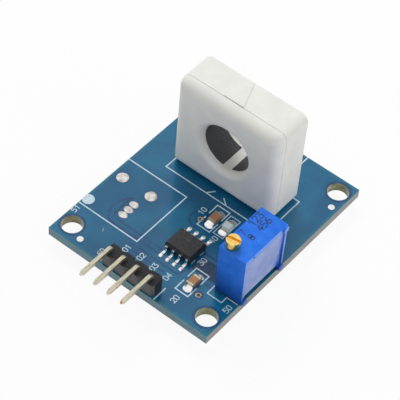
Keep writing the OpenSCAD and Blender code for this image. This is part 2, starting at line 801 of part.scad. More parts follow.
circuit_board();
spare_pad_solder();
sensor_cover();
sensor_case();
flux_core();
hall_chip();
hall_lead(0);  // hall_lead_1
hall_lead(1);  // hall_lead_2
hall_lead(2);  // hall_lead_3
sensor_post(0);  // sensor_post_left
sensor_post(1);  // sensor_post_right
sensor_solder();
header_body();
header_pin(0);  // header_pin_1
header_pin(1);  // header_pin_2
header_pin(2);  // header_pin_3
header_pin(3);  // header_pin_4
header_solder();
comparator_body();
comparator_lead(0);  // comparator_lead_1
comparator_lead(1);  // comparator_lead_2
comparator_lead(2);  // comparator_lead_3
comparator_lead(3);  // comparator_lead_4
comparator_lead(4);  // comparator_lead_5
comparator_lead(5);  // comparator_lead_6
comparator_lead(6);  // comparator_lead_7
comparator_lead(7);  // comparator_lead_8
chip_solder();
capacitor_body(cap_1_at);  // capacitor_1_body
end_cap(cap_1_at, -1, chip_part_h);  // capacitor_1_cap_front
end_cap(cap_1_at, 1, chip_part_h);  // capacitor_1_cap_back
capacitor_body(cap_2_at);  // capacitor_2_body
end_cap(cap_2_at, -1, chip_part_h);  // capacitor_2_cap_front
end_cap(cap_2_at, 1, chip_part_h);  // capacitor_2_cap_back
lamp_base();
lamp_lens();
end_cap(lamp_at, -1, lamp_base_h);  // lamp_terminal_front
end_cap(lamp_at, 1, lamp_base_h);  // lamp_terminal_back
trimmer_housing();
trimmer_seal();
trimmer_element();
trimmer_terminal(0);  // trimmer_terminal_1
trimmer_terminal(1);  // trimmer_terminal_2
trimmer_terminal(2);  // trimmer_terminal_3
trimmer_screw();
trimmer_o_ring();
trimmer_rotor();
trimmer_wiper();
trimmer_solder();
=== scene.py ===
# The looks of a small current sensor module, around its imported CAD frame.
# Metres, in the shared frame. Places on the board are given in millimetres from the front left
# corner of its top face, x along the plug header's edge, y to the back and z up.
import json
import math

import bmesh
import bpy
from mathutils import Matrix, Vector


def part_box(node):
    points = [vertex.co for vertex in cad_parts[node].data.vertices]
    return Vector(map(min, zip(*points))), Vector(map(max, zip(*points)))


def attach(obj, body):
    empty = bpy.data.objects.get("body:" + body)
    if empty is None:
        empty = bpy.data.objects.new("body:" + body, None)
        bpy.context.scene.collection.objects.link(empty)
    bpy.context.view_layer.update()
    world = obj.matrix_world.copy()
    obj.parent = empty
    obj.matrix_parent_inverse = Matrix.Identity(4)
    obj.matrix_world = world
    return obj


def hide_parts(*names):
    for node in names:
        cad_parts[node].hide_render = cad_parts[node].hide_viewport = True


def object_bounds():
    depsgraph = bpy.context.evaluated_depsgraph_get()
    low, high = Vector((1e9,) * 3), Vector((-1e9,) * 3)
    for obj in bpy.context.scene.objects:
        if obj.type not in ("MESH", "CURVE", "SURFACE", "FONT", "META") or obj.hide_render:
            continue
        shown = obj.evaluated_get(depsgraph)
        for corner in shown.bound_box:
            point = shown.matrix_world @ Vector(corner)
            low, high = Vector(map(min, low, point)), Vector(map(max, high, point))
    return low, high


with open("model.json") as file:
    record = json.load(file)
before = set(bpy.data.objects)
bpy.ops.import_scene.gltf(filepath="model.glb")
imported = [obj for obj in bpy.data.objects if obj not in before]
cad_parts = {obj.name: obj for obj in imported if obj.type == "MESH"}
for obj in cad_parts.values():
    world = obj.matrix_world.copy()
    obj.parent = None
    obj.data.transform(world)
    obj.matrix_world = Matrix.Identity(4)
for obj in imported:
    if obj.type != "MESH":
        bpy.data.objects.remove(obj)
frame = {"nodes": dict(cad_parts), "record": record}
cad_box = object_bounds()
NODES = frame["nodes"]

MM = 0.001
BOARD_LOW, BOARD_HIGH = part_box("circuit_board")
# The board's thickness and its print's height and line width, in millimetres
BOARD_THICK = 1.6
PRINT_HIGH = 0.02
PRINT_WIDTH = 0.2


def spot(x, y, z=0.0):
    """A place on the board in millimetres, as a point in the shared frame."""
    return Vector((BOARD_LOW.x + x * MM, BOARD_LOW.y + y * MM, BOARD_HIGH.z + z * MM))


# Camera

CAMERA_AIM = Vector((0, -0.001625, 0.0046))
CAMERA_AZIMUTH = math.radians(34.7459)
CAMERA_ELEVATION = math.radians(49.5169)
CAMERA_ROLL = math.radians(5.6809)
CAMERA_DISTANCE = 0.275974
CAMERA_LENS = 167.83
CAMERA_SHIFT = (-0.00355, 0.00264)


def make_camera():
    """The photograph's view: from the front right and above, with a small roll."""
    data = bpy.data.cameras.new("camera")
    data.sensor_width = 36
    data.lens = CAMERA_LENS
    data.shift_x, data.shift_y = CAMERA_SHIFT
    data.clip_start = 0.01
    data.clip_end = 10
    camera = bpy.data.objects.new("camera", data)
    bpy.context.scene.collection.objects.link(camera)
    flat = math.cos(CAMERA_ELEVATION)
    back = Vector((math.sin(CAMERA_AZIMUTH) * flat, -math.cos(CAMERA_AZIMUTH) * flat,
                   math.sin(CAMERA_ELEVATION)))
    level = Vector((math.cos(CAMERA_AZIMUTH), math.sin(CAMERA_AZIMUTH), 0))
    up = back.cross(level)
    right = math.cos(CAMERA_ROLL) * level + math.sin(CAMERA_ROLL) * up
    above = math.cos(CAMERA_ROLL) * up - math.sin(CAMERA_ROLL) * level
    turn = Matrix((right, above, back)).transposed()
    camera.matrix_world = Matrix.Translation(CAMERA_AIM + back * CAMERA_DISTANCE) @ turn.to_4x4()
    bpy.context.scene.camera = camera


# Materials

class Surface:
    """A node material being made, with short calls for the nodes that this scene uses."""

    def __init__(self, name, colour, roughness, metallic=0.0, specular=0.5):
        self.material = bpy.data.materials.new(name)
        self.material.use_nodes = True
        self.tree = self.material.node_tree
        self.shader = self.tree.nodes["Principled BSDF"]
        self.set("Base Color", (*colour, 1))
        self.set("Roughness", roughness)
        self.set("Metallic", metallic)
        self.set("Specular IOR Level", specular)
        self.place = self.add("ShaderNodeMapping", Scale=(1 / MM, 1 / MM, 1 / MM))
        self.join(self.add("ShaderNodeTexCoord").outputs["Object"], self.place.inputs["Vector"])

    def set(self, socket, value):
        self.shader.inputs[socket].default_value = value

    def join(self, source, target):
        self.tree.links.new(source, target)

    def add(self, kind, **values):
        """A new node: a value goes to the input of that name, or else to the setting."""
        node = self.tree.nodes.new(kind)
        for name, value in values.items():
            if name in node.inputs:
                node.inputs[name].default_value = value
            else:
                setattr(node, name, value)
        return node

    def axis_of(self, vector, axis):
        """One of a vector's three numbers, by the axis X, Y or Z."""
        node = self.add("ShaderNodeSeparateXYZ")
        self.join(vector, node.inputs["Vector"])
        return node.outputs[axis]

    def along(self, axis):
        """The place along an axis, in millimetres."""
        return self.axis_of(self.place.outputs["Vector"], axis)

    def facing(self, axis):
        """How far the surface faces along an axis, from -1 to 1."""
        return self.axis_of(self.add("ShaderNodeNewGeometry").outputs["Normal"], axis)

    def noise(self, per_mm, detail=2.0, stretch=(1, 1, 1)):
        """Noise with so many features in a millimetre, drawn out along an axis if wanted."""
        scale = self.add("ShaderNodeMapping", Scale=stretch)
        self.join(self.place.outputs["Vector"], scale.inputs["Vector"])
        node = self.add("ShaderNodeTexNoise", Scale=per_mm, Detail=detail)
        self.join(scale.outputs["Vector"], node.inputs["Vector"])
        return node.outputs["Fac"]

    def ramp(self, source, low, high, start, end):
        """Turns a factor between start and end into a colour between low and high."""
        node = self.add("ShaderNodeValToRGB")
        stops = node.color_ramp.elements
        stops[0].position, stops[0].color = start, (*low, 1)
        stops[1].position, stops[1].color = end, (*high, 1)
        self.join(source, node.inputs["Fac"])
        return node.outputs["Color"]

    def span(self, source, low, high):
        """Turns a factor between 0.3 and 0.7 into a value between low and high."""
        node = self.add("ShaderNodeMapRange")
        for name, value in (("From Min", 0.3), ("From Max", 0.7),
                            ("To Min", low), ("To Max", high)):
            node.inputs[name].default_value = value
        self.join(source, node.inputs["Value"])
        return node.outputs["Result"]

    def mix(self, factor, low, high):
        """One of two colours by a factor; a colour is a socket or three numbers."""
        node = self.add("ShaderNodeMix", data_type="RGBA")
        for socket, value in ((node.inputs[6], low), (node.inputs[7], high)):
            if isinstance(value, tuple):
                socket.default_value = (*value, 1)
            else:
                self.join(value, socket)
        self.join(factor, node.inputs[0])
        return node.outputs[2]

    def math(self, operation, a, b):
        """A sum on two inputs, each a socket or a number."""
        node = self.add("ShaderNodeMath", operation=operation)
        for socket, value in ((node.inputs[0], a), (node.inputs[1], b)):
            if isinstance(value, (int, float)):
                socket.default_value = value
            else:
                self.join(value, socket)
        return node.outputs[0]

    def colour(self, source):
        self.join(source, self.shader.inputs["Base Color"])

    def rough(self, source, low, high):
        self.join(self.span(source, low, high), self.shader.inputs["Roughness"])

    def bump(self, source, depth_mm, strength=1.0):
        node = self.add("ShaderNodeBump", Distance=depth_mm * MM, Strength=strength)
        self.join(source, node.inputs["Height"])
        self.join(node.outputs["Normal"], self.shader.inputs["Normal"])


BLACK = (0.0, 0.0, 0.0)
WHITE = (1.0, 1.0, 1.0)
MASK_DEEP = (0.001, 0.096, 0.210)
MASK_PALE = (0.004, 0.138, 0.270)
MASK_TEAL = (0.003, 0.175, 0.255)
LAMINATE = (0.21, 0.215, 0.20)
LAMINATE_DARK = (0.11, 0.115, 0.10)
HOLE_PALE = (0.42, 0.41, 0.19)
HOLE_DARK = (0.085, 0.09, 0.055)
EDGE_FRONT = (0.080, 0.22, 0.27)
EDGE_FRONT_DARK = (0.07, 0.13, 0.14)
BOARD_MIDDLE = (BOARD_LOW + BOARD_HIGH) / 2 / MM
BOARD_HALF = (BOARD_HIGH - BOARD_LOW) / 2 / MM
# How far in from the rim the mask is teal, and a face still counts as the edge, in millimetres
TEAL_BAND = 0.45
EDGE_DEPTH = 0.02


def board_material():
    """Blue solder mask over copper, with bare laminate on the edges and in the holes."""
    made = Surface("board_mask", MASK_PALE, 0.2)
    aside = made.math("SUBTRACT", made.along("X"), BOARD_MIDDLE.x)
    to_back = made.math("SUBTRACT", made.along("Y"), BOARD_MIDDLE.y)
    from_side = made.math("SUBTRACT", BOARD_HALF.x, made.math("ABSOLUTE", aside, 0))
    from_end = made.math("SUBTRACT", BOARD_HALF.y, made.math("ABSOLUTE", to_back, 0))
    from_rim = made.math("MINIMUM", from_side, from_end)
    pour = made.ramp(made.noise(0.10, 3), MASK_DEEP, MASK_PALE, 0.40, 0.56)
    near_rim = made.math("LESS_THAN", from_rim, TEAL_BAND)
    face = made.mix(made.math("MULTIPLY", near_rim, made.noise(0.5, 2)), pour, MASK_TEAL)
    layers = made.noise(1.3, 4, (0.35, 0.35, 5))
    edge = made.ramp(layers, LAMINATE_DARK, LAMINATE, 0.3, 0.62)
    front = made.math("LESS_THAN", to_back, EDGE_DEPTH - BOARD_HALF.y)
    edge = made.mix(front, edge, made.ramp(layers, EDGE_FRONT_DARK, EDGE_FRONT, 0.36, 0.5))
    hole = made.ramp(made.noise(0.9, 3, (1, 1, 2)), HOLE_DARK, HOLE_PALE, 0.3, 0.65)
    wall = made.mix(made.math("GREATER_THAN", from_rim, EDGE_DEPTH), edge, hole)
    level = made.math("GREATER_THAN", made.math("ABSOLUTE", made.facing("Z"), 0), 0.5)
    made.colour(made.mix(level, wall, face))
    mask_finish(made)
    return made.material


def mask_finish(made):
    """The gloss and the soft waves of solder mask."""
    made.rough(made.noise(0.6, 3), 0.15, 0.24)
    made.bump(made.noise(1.8, 4), 0.006, 0.4)


def trace_material(name, dark, light):
    """A thin glossy mark: the mask where there is no copper below it, or the chip's round mark."""
    made = Surface(name, light, 0.2, specular=0.42)
    made.colour(made.ramp(made.noise(0.8), dark, light, 0.35, 0.65))
    mask_finish(made)
    return made.material


def print_material():
    """Pale screen print, a little thin in places."""
    made = Surface("screen_print", (0.60, 0.76, 0.83), 0.6)
    made.colour(made.ramp(made.noise(3.5, 4), (0.42, 0.58, 0.66), (0.64, 0.78, 0.84), 0.3, 0.55))
    made.bump(made.noise(6, 3), 0.006, 0.6)
    return made.material


def housing_material():
    """Ivory moulding with the fine, uneven satin of a spark-eroded tool."""
    made = Surface("housing_ivory", (0.84, 0.84, 0.80), 0.5)
    made.colour(made.ramp(made.noise(0.35, 4), (0.81, 0.81, 0.77), (0.86, 0.86, 0.815), 0.35, 0.65))
    made.rough(made.noise(2.5, 3), 0.42, 0.58)
    made.bump(made.noise(9, 3), 0.010, 0.35)
    made.set("Subsurface Weight", 0.05)
    made.set("Subsurface Radius", (0.001, 0.001, 0.0008))
    return made.material


def core_material():
    """Dark sintered ferrite with a fine grain."""
    made = Surface("core_ferrite", (0.05, 0.05, 0.055), 0.55)
    made.colour(made.ramp(made.noise(7, 4), (0.03, 0.03, 0.034), (0.075, 0.075, 0.08), 0.35, 0.7))
    made.rough(made.noise(5), 0.42, 0.65)
    made.bump(made.noise(11, 4), 0.012, 0.6)
    return made.material


def chip_material():
    """The chips' grained black moulding."""
    made = Surface("chip_black", (0.02, 0.02, 0.022), 0.5, specular=0.4)
    made.colour(made.ramp(made.noise(4, 3), (0.014, 0.014, 0.016), (0.05, 0.05, 0.055), 0.3, 0.7))
    made.rough(made.noise(3, 3), 0.43, 0.58)
    made.bump(made.noise(10, 4), 0.02, 0.7)
    return made.material


def header_material():
    """The plug header's moulding: dark on top, with painted light making the front faces paler."""
    made = Surface("header_black", (0.02, 0.02, 0.022), 0.5, specular=0.35)
    # Painted light: faces turned to the front get a paler colour, as where they catch the light
    front = made.math("LESS_THAN", made.facing("Y"), -0.6)
    plain = made.ramp(made.noise(3, 3), (0.008, 0.008, 0.010), (0.024, 0.023, 0.026), 0.3, 0.7)
    painted_lit_front = made.ramp(made.noise(4, 4), (0.055, 0.052, 0.058), (0.12, 0.115, 0.125), 0.3, 0.7)
    made.colour(made.mix(front, plain, painted_lit_front))
    made.rough(made.noise(3, 3), 0.42, 0.58)
    made.bump(made.noise(10, 4), 0.008, 0.7)
    return made.material


def metal_material(name, dark, light, low, high, grain_mm, stretch=(1, 1, 1)):
    """Plated or cast metal with soft stains and a drawn or cooled grain."""
    made = Surface(name, light, low, metallic=1.0)
    made.colour(made.ramp(made.noise(1.6, 4, stretch), dark, light, 0.3, 0.6))
    made.rough(made.noise(2.2, 4, stretch), low, high)
    made.bump(made.noise(5, 3, stretch), grain_mm, 0.5)
    return made.material


def pin_material():
    """Tinned pins: cream, drawn lengthwise, with a few rust-red stains."""
    drawn = (3, 0.5, 3)
    made = Surface("tinned_metal", (0.82, 0.78, 0.62), 0.3, metallic=0.9)
    tin = made.ramp(made.noise(1.6, 4, drawn), (0.44, 0.40, 0.29), (0.63, 0.60, 0.47), 0.3, 0.55)
    stains = made.ramp(made.noise(0.75, 2), BLACK, WHITE, 0.62, 0.70)
    made.colour(made.mix(stains, tin, (0.48, 0.17, 0.08)))
    made.rough(made.noise(2.2, 4, drawn), 0.26, 0.44)
    made.bump(made.noise(5, 3, drawn), 0.014, 0.5)
    return made.material


def ceramic_material(name, low, high, roughness):
    """Fired ceramic with a fine mottle."""
    made = Surface(name, high, roughness)
    made.colour(made.ramp(made.noise(6, 4), low, high, 0.3, 0.7))
    made.rough(made.noise(5), roughness - 0.08, roughness + 0.1)
    made.bump(made.noise(9, 3), 0.006, 0.5)
    return made.material


def trimmer_material():
    """Satin blue moulding, with painted shade that deepens towards the board and painted light that
    makes the faces on the right paler, round the seal.
    """
    made = Surface("trimmer_blue", (0.02, 0.17, 0.78), 0.38, specular=0.28)
    plain = made.ramp(made.noise(0.7, 5), (0.010, 0.155, 0.76), (0.030, 0.205, 0.88), 0.3, 0.7)
    # Painted highlight: faces turned to the right are painted paler, as where the light falls on
    # them
    right = made.math("GREATER_THAN", made.facing("X"), 0.35)
    plain = made.mix(made.math("MULTIPLY", right, 0.55), plain, (0.22, 0.45, 0.95))
    # Painted shade: the colour darkens towards the board, as in the shade near it
    rise = made.ramp(made.math("MULTIPLY", made.along("Z"), 0.1), BLACK, WHITE, 0.12, 0.72)
    made.colour(made.mix(rise, (0.004, 0.050, 0.27), plain))
    made.rough(made.noise(2, 3), 0.3, 0.46)
    made.bump(made.noise(4.5, 4), 0.012, 0.4)
    return made.material


def seal_material():
    """Cast lilac resin: satin, wavy and clouded, with the housing's blue wall painted in at its
    lower back, darkened as painted shade.
    """
    made = Surface("seal_resin", (0.28, 0.37, 0.72), 0.35)
    cast = made.ramp(made.noise(0.35, 3), (0.17, 0.25, 0.60), (0.28, 0.37, 0.73), 0.3, 0.7)
    seal_low, seal_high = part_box("trimmer_seal")
    from_back = made.math("SUBTRACT", seal_high.y / MM, made.along("Y"))
    from_foot = made.math("SUBTRACT", made.along("Z"), seal_low.z / MM)
    from_corner = made.math("ADD", from_back, made.math("MULTIPLY", from_foot, 0.22))
    ragged = made.math("MULTIPLY", made.noise(0.8), 0.8)
    # The housing's blue wall past the resin's curved edge, painted a darker blue as painted shade
    thin = made.math("LESS_THAN", made.math("ADD", from_corner, ragged), 1.75)
    made.colour(made.mix(thin, cast, (0.03, 0.14, 0.55)))
    made.rough(made.noise(0.8), 0.3, 0.46)
    made.bump(made.noise(0.45, 2), 0.08, 0.5)
    made.set("Subsurface Weight", 0.15)
    made.set("Subsurface Radius", (0.0006, 0.0006, 0.001))
    return made.material


def lens_material():
    """Cloudy, faintly green casting over the lamp's chip."""
    made = Surface("lamp_lens", (0.60, 0.72, 0.66), 0.18)
    made.colour(made.ramp(made.noise(2.4, 3), (0.78, 0.88, 0.84), (0.93, 0.97, 0.95), 0.3, 0.7))
    made.rough(made.noise(2), 0.12, 0.28)
    made.bump(made.noise(3), 0.01, 0.4)
    made.set("Subsurface Weight", 0.3)
    made.set("Subsurface Radius", (0.0004, 0.0006, 0.0005))
    return made.material


def rubber_material():
    """Dull red silicone."""
    made = Surface("ring_rubber", (0.45, 0.10, 0.05), 0.6)
    made.colour(made.ramp(made.noise(5), (0.36, 0.07, 0.03), (0.52, 0.13, 0.07), 0.3, 0.7))
    made.bump(made.noise(9, 3), 0.008, 0.5)
    return made.material


def ink_material():
    """Thin dark blue ink, uneven where the moulding shows through."""
    made = Surface("dark_ink", (0.02, 0.05, 0.22), 0.45)
    made.colour(made.ramp(made.noise(5, 4), (0.012, 0.035, 0.16), (0.03, 0.10, 0.42), 0.35, 0.75))
    made.rough(made.noise(4, 3), 0.36, 0.52)
    return made.material


MATERIALS = {
    "board_blue": board_material(),
    "solder": metal_material("solder", (0.72, 0.71, 0.69), (0.94, 0.93, 0.91), 0.16, 0.34, 0.03),
    "housing_ivory": housing_material(),
    "core_dark": core_material(),
    "plastic_black": chip_material(),
    "capacitor_brown": ceramic_material("capacitor_brown", (0.36, 0.16, 0.065),
                                        (0.50, 0.24, 0.105), 0.4),
    "lamp_white": ceramic_material("lamp_white", (0.62, 0.70, 0.62), (0.78, 0.84, 0.77), 0.45),
    "lamp_clear": lens_material(),
    "trimmer_blue": trimmer_material(),
    "seal_lilac": seal_material(),
    "ceramic_white": ceramic_material("ceramic_white", (0.74, 0.73, 0.68),
                                      (0.84, 0.83, 0.79), 0.55),
    "screw_brass": metal_material("screw_brass", (0.78, 0.46, 0.10), (0.98, 0.70, 0.24),
                                  0.16, 0.30, 0.012, (1, 1, 6)),
    "ring_red": rubber_material(),
    "rotor_white": ceramic_material("rotor_white", (0.72, 0.72, 0.69), (0.83, 0.83, 0.80), 0.5),
    "wiper_bronze": metal_material("wiper_bronze", (0.55, 0.30, 0.12), (0.78, 0.48, 0.24),
                                   0.25, 0.4, 0.01),
    "tinned_metal": pin_material(),
}
# What single nodes and the scene's own pieces wear instead
TIN_BRIGHT = metal_material("tin_bright", (0.80, 0.80, 0.79), (0.95, 0.95, 0.94),
                            0.14, 0.28, 0.012)
PAD_TIN = metal_material("pad_tin", (0.42, 0.40, 0.37), (0.78, 0.76, 0.73), 0.22, 0.40, 0.03)
VIA_TIN = metal_material("via_tin", (0.22, 0.21, 0.16), (0.50, 0.48, 0.40), 0.26, 0.42, 0.02)
HEADER_BLACK = header_material()
MASK_GAP = trace_material("mask_gap", (0.012, 0.040, 0.135), (0.030, 0.070, 0.190))
MASK_RIM = trace_material("mask_rim", (0.008, 0.060, 0.155), (0.018, 0.085, 0.195))
MASK_BARE = trace_material("mask_bare", (0.006, 0.032, 0.085), (0.012, 0.050, 0.120))
SCREEN_PRINT = print_material()
CHIP_MARK = trace_material("chip_mark", (0.05, 0.048, 0.045), (0.085, 0.08, 0.075))
DARK_INK = ink_material()
# Radius of the sharp edges of the moulded nodes, in millimetres
SOFT_EDGES = {"trimmer_housing": 0.15, "header_body": 0.08, "comparator_body": 0.05}


def dress_nodes():
    """Gives every CAD node its material, and the moulded ones soft edges."""
    for part in frame["record"]["subparts"]:
        node = NODES[part["node"]]
        if part["node"] == "header_body":
            material = HEADER_BLACK
        elif part["node"].startswith("comparator_lead"):
            material = TIN_BRIGHT
        else:
            material = MATERIALS[part["material_slot"]]
        node.data.materials.clear()
        node.data.materials.append(material)
    for name, radius_mm in SOFT_EDGES.items():
        soften(NODES[name], radius_mm)


def soften(node, radius_mm):
    """Rounds the sharp edges of a moulded node."""
    weld = node.modifiers.new("weld", "WELD")
    weld.merge_threshold = 0.001 * MM
    bevel = node.modifiers.new("bevel", "BEVEL")
    bevel.width = radius_mm * MM
    bevel.segments = 3
    bevel.limit_method = "ANGLE"
    bevel.angle_limit = math.radians(35)
    smooth = node.modifiers.new("normals", "WEIGHTED_NORMAL")
    smooth.keep_sharp = False


# Shapes

def finish_piece(name, mesh, material, body="module"):
    """Turns a bmesh into a named piece that rides on a body."""
    bmesh.ops.recalc_face_normals(mesh, faces=mesh.faces)
    data = bpy.data.meshes.new(name)
    mesh.to_mesh(data)
    mesh.free()
    data.shade_smooth()
    data.set_sharp_from_angle(angle=math.radians(38))
    piece = bpy.data.objects.new(name, data)
    bpy.context.scene.collection.objects.link(piece)
    data.materials.append(material)
    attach(piece, body)
    return piece


def prism(mesh, outline, low, high):
    """Adds a plate with the given outline of board places, between two heights in millimetres."""
    lower = [mesh.verts.new(spot(x, y, low)) for x, y in outline]
    upper = [mesh.verts.new(spot(x, y, high)) for x, y in outline]
    mesh.faces.new(upper)
    mesh.faces.new(lower[::-1])
    for i in range(len(outline)):
        j = (i + 1) % len(outline)
        mesh.faces.new((lower[i], lower[j], upper[j], upper[i]))


def line(mesh, points, width=PRINT_WIDTH, low=0.0, high=PRINT_HIGH):
    """Adds a flat line through the points, with mitred corners."""
    points = [Vector(p) for p in points]
    closed = (points[0] - points[-1]).length < 1e-6
    if closed:
        points.pop()
    count = len(points)
    sides = []
    for i, here in enumerate(points):
        before = points[i - 1] if i > 0 or closed else None
        after = points[(i + 1) % count] if i < count - 1 or closed else None
        come = (here - before).normalized() if before is not None else (after - here).normalized()
        leave = (after - here).normalized() if after is not None else come
        across = (come + leave).normalized().orthogonal()
        reach = width / 2 / max(across.dot(leave.orthogonal()), 0.35)
        if before is None:
            here = here - come * width / 2
        if after is None:
            here = here + leave * width / 2
        sides.append((here + across * reach, here - across * reach))
    rings = [[mesh.verts.new(spot(*corner, z)) for corner, z in
              ((left, low), (left, high), (right, high), (right, low))] for left, right in sides]
    for i in range(count if closed else count - 1):
        this, other = rings[i], rings[(i + 1) % count]
        for k in range(4):
            mesh.faces.new((this[k], this[(k + 1) % 4], other[(k + 1) % 4], other[k]))
    if not closed:
        mesh.faces.new(rings[0])
        mesh.faces.new(rings[-1][::-1])


def arc(centre, radius, start=0.0, end=360.0, steps=32):
    """Points along an arc, angles in degrees."""
    turns = [math.radians(start + (end - start) * k / steps) for k in range(steps + 1)]
    return [(centre[0] + radius * math.cos(a), centre[1] + radius * math.sin(a)) for a in turns]


# Each digit as strokes in a box one high and 0.6 wide
DIGIT_STROKES = {
    "0": [[(0.15, 0), (0.45, 0), (0.6, 0.15), (0.6, 0.85), (0.45, 1), (0.15, 1), (0, 0.85),
           (0, 0.15), (0.15, 0)]],
    "1": [[(0.1, 0.78), (0.34, 1), (0.34, 0)]],
    "2": [[(0, 0.85), (0.15, 1), (0.45, 1), (0.6, 0.85), (0.6, 0.62), (0, 0), (0.6, 0)]],
    "3": [[(0, 1), (0.6, 1), (0.28, 0.6), (0.45, 0.6), (0.6, 0.45), (0.6, 0.15), (0.45, 0),
           (0.15, 0), (0, 0.15)]],
    "4": [[(0.45, 0), (0.45, 1), (0, 0.32), (0.6, 0.32)]],
    "5": [[(0.6, 1), (0.05, 1), (0, 0.55), (0.42, 0.6), (0.6, 0.42), (0.6, 0.15), (0.45, 0),
           (0, 0)]],
    "6": [[(0.5, 1), (0.15, 0.8), (0, 0.45), (0, 0.15), (0.15, 0), (0.45, 0), (0.6, 0.15),
           (0.6, 0.4), (0.45, 0.55), (0.1, 0.55)]],
    "7": [[(0, 1), (0.6, 1), (0.2, 0)]],
    "8": [[(0.15, 0.53), (0, 0.7), (0, 0.85), (0.15, 1), (0.45, 1), (0.6, 0.85), (0.6, 0.7),
           (0.45, 0.53), (0.15, 0.53), (0, 0.38), (0, 0.15), (0.15, 0), (0.45, 0), (0.6, 0.15),
           (0.6, 0.38), (0.45, 0.53)]],
}
DIGIT_PITCH = 0.85
DIGIT_TURN = math.radians(90)


def digits(mesh, text, at, height, width, base=0.0):
    """Adds plain digits that start at the place and read to the back, at a height of base."""
    along = Vector((math.cos(DIGIT_TURN), math.sin(DIGIT_TURN)))
    up = along.orthogonal()
    for place, digit in enumerate(text):
        for stroke in DIGIT_STROKES[digit]:
            line(mesh, [Vector(at) + (along * (x + place * DIGIT_PITCH) + up * y) * height
                        for x, y in stroke], width, base, base + PRINT_HIGH)


def lathe(mesh, centre, profile, squeeze=1.0, steps=32):
    """Revolves a closed outline of radius and height about a board place, squeezed along y."""
    turns = [2 * math.pi * k / steps for k in range(steps)]
    rings = [[mesh.verts.new(spot(centre[0] + r * math.cos(a),
                                  centre[1] + r * math.sin(a) * squeeze, z)) for a in turns]
             for r, z in profile]
    for i, ring in enumerate(rings):
        other = rings[(i + 1) % len(rings)]
        for k in range(steps):
            j = (k + 1) % steps
            mesh.faces.new((ring[k], ring[j], other[j], other[k]))


def flat_ring(mesh, centre, inner, outer, high=0.012, squeeze=1.0):
    """Adds a flat ring that lies on the board, squeezed along y."""
    lathe(mesh, centre, [(inner, 0), (outer, 0), (outer, high), (inner, high)], squeeze, 48)


def heap(mesh, centre, width, length, high, shape=0.8, steps=20, rows=6):
    """Adds a rounded heap of solder on the board: a smooth lump with a soft rectangular foot."""
    def squared(value):
        return math.copysign(abs(value) ** shape, value)
    turns = [2 * math.pi * k / steps for k in range(steps)]
    rings = []
    for row in range(rows):
        rise = math.pi / 2 * row / rows
        out = math.cos(rise) ** 0.8
        rings.append([mesh.verts.new(spot(centre[0] + squared(math.cos(a)) * width / 2 * out,
                                          centre[1] + squared(math.sin(a)) * length / 2 * out,
                                          high * math.sin(rise))) for a in turns])
    mesh.faces.new(rings[0][::-1])
    for low_ring, high_ring in zip(rings, rings[1:]):
        for k in range(steps):
            j = (k + 1) % steps
            mesh.faces.new((low_ring[k], low_ring[j], high_ring[j], high_ring[k]))
    top = mesh.verts.new(spot(*centre, high))
    for k in range(steps):
        mesh.faces.new((rings[-1][k], rings[-1][(k + 1) % steps], top))


# How far solder goes below the board's face, in millimetres
SINK = 0.005


def fillet(mesh, foot, side, width, length, high, columns=12, rows=8):
    """Adds solder that climbs a part's end: hollow in profile, with its corners rounded off."""
    def point(column, row):
        across = 2 * column / columns - 1
        out = row / rows
        reach = length * (1 - 0.45 * abs(across) ** 3)
        rise = high * (1 - 0.35 * across ** 4) * (1 - out) ** 1.9
        return foot[0] + across * width / 2 * (1 + 0.10 * out), foot[1] + side * reach * out, rise
    grid = [[point(c, r) for c in range(columns + 1)] for r in range(rows + 1)]
    top = [[mesh.verts.new(spot(x, y, z)) for x, y, z in row] for row in grid]
    low = [[mesh.verts.new(spot(x, y, -SINK)) for x, y, z in row] for row in grid]
    for r in range(rows):
        for c in range(columns):
            mesh.faces.new((top[r][c], top[r][c + 1], top[r + 1][c + 1], top[r + 1][c]))
            mesh.faces.new((low[r][c], low[r + 1][c], low[r + 1][c + 1], low[r][c + 1]))
        mesh.faces.new((low[r][0], top[r][0], top[r + 1][0], low[r + 1][0]))
        mesh.faces.new((low[r][-1], low[r + 1][-1], top[r + 1][-1], top[r][-1]))
    for c in range(columns):
        mesh.faces.new((low[0][c], low[0][c + 1], top[0][c + 1], top[0][c]))
        mesh.faces.new((low[-1][c], top[-1][c], top[-1][c + 1], low[-1][c + 1]))


# Places on the board, in millimetres from its front left corner

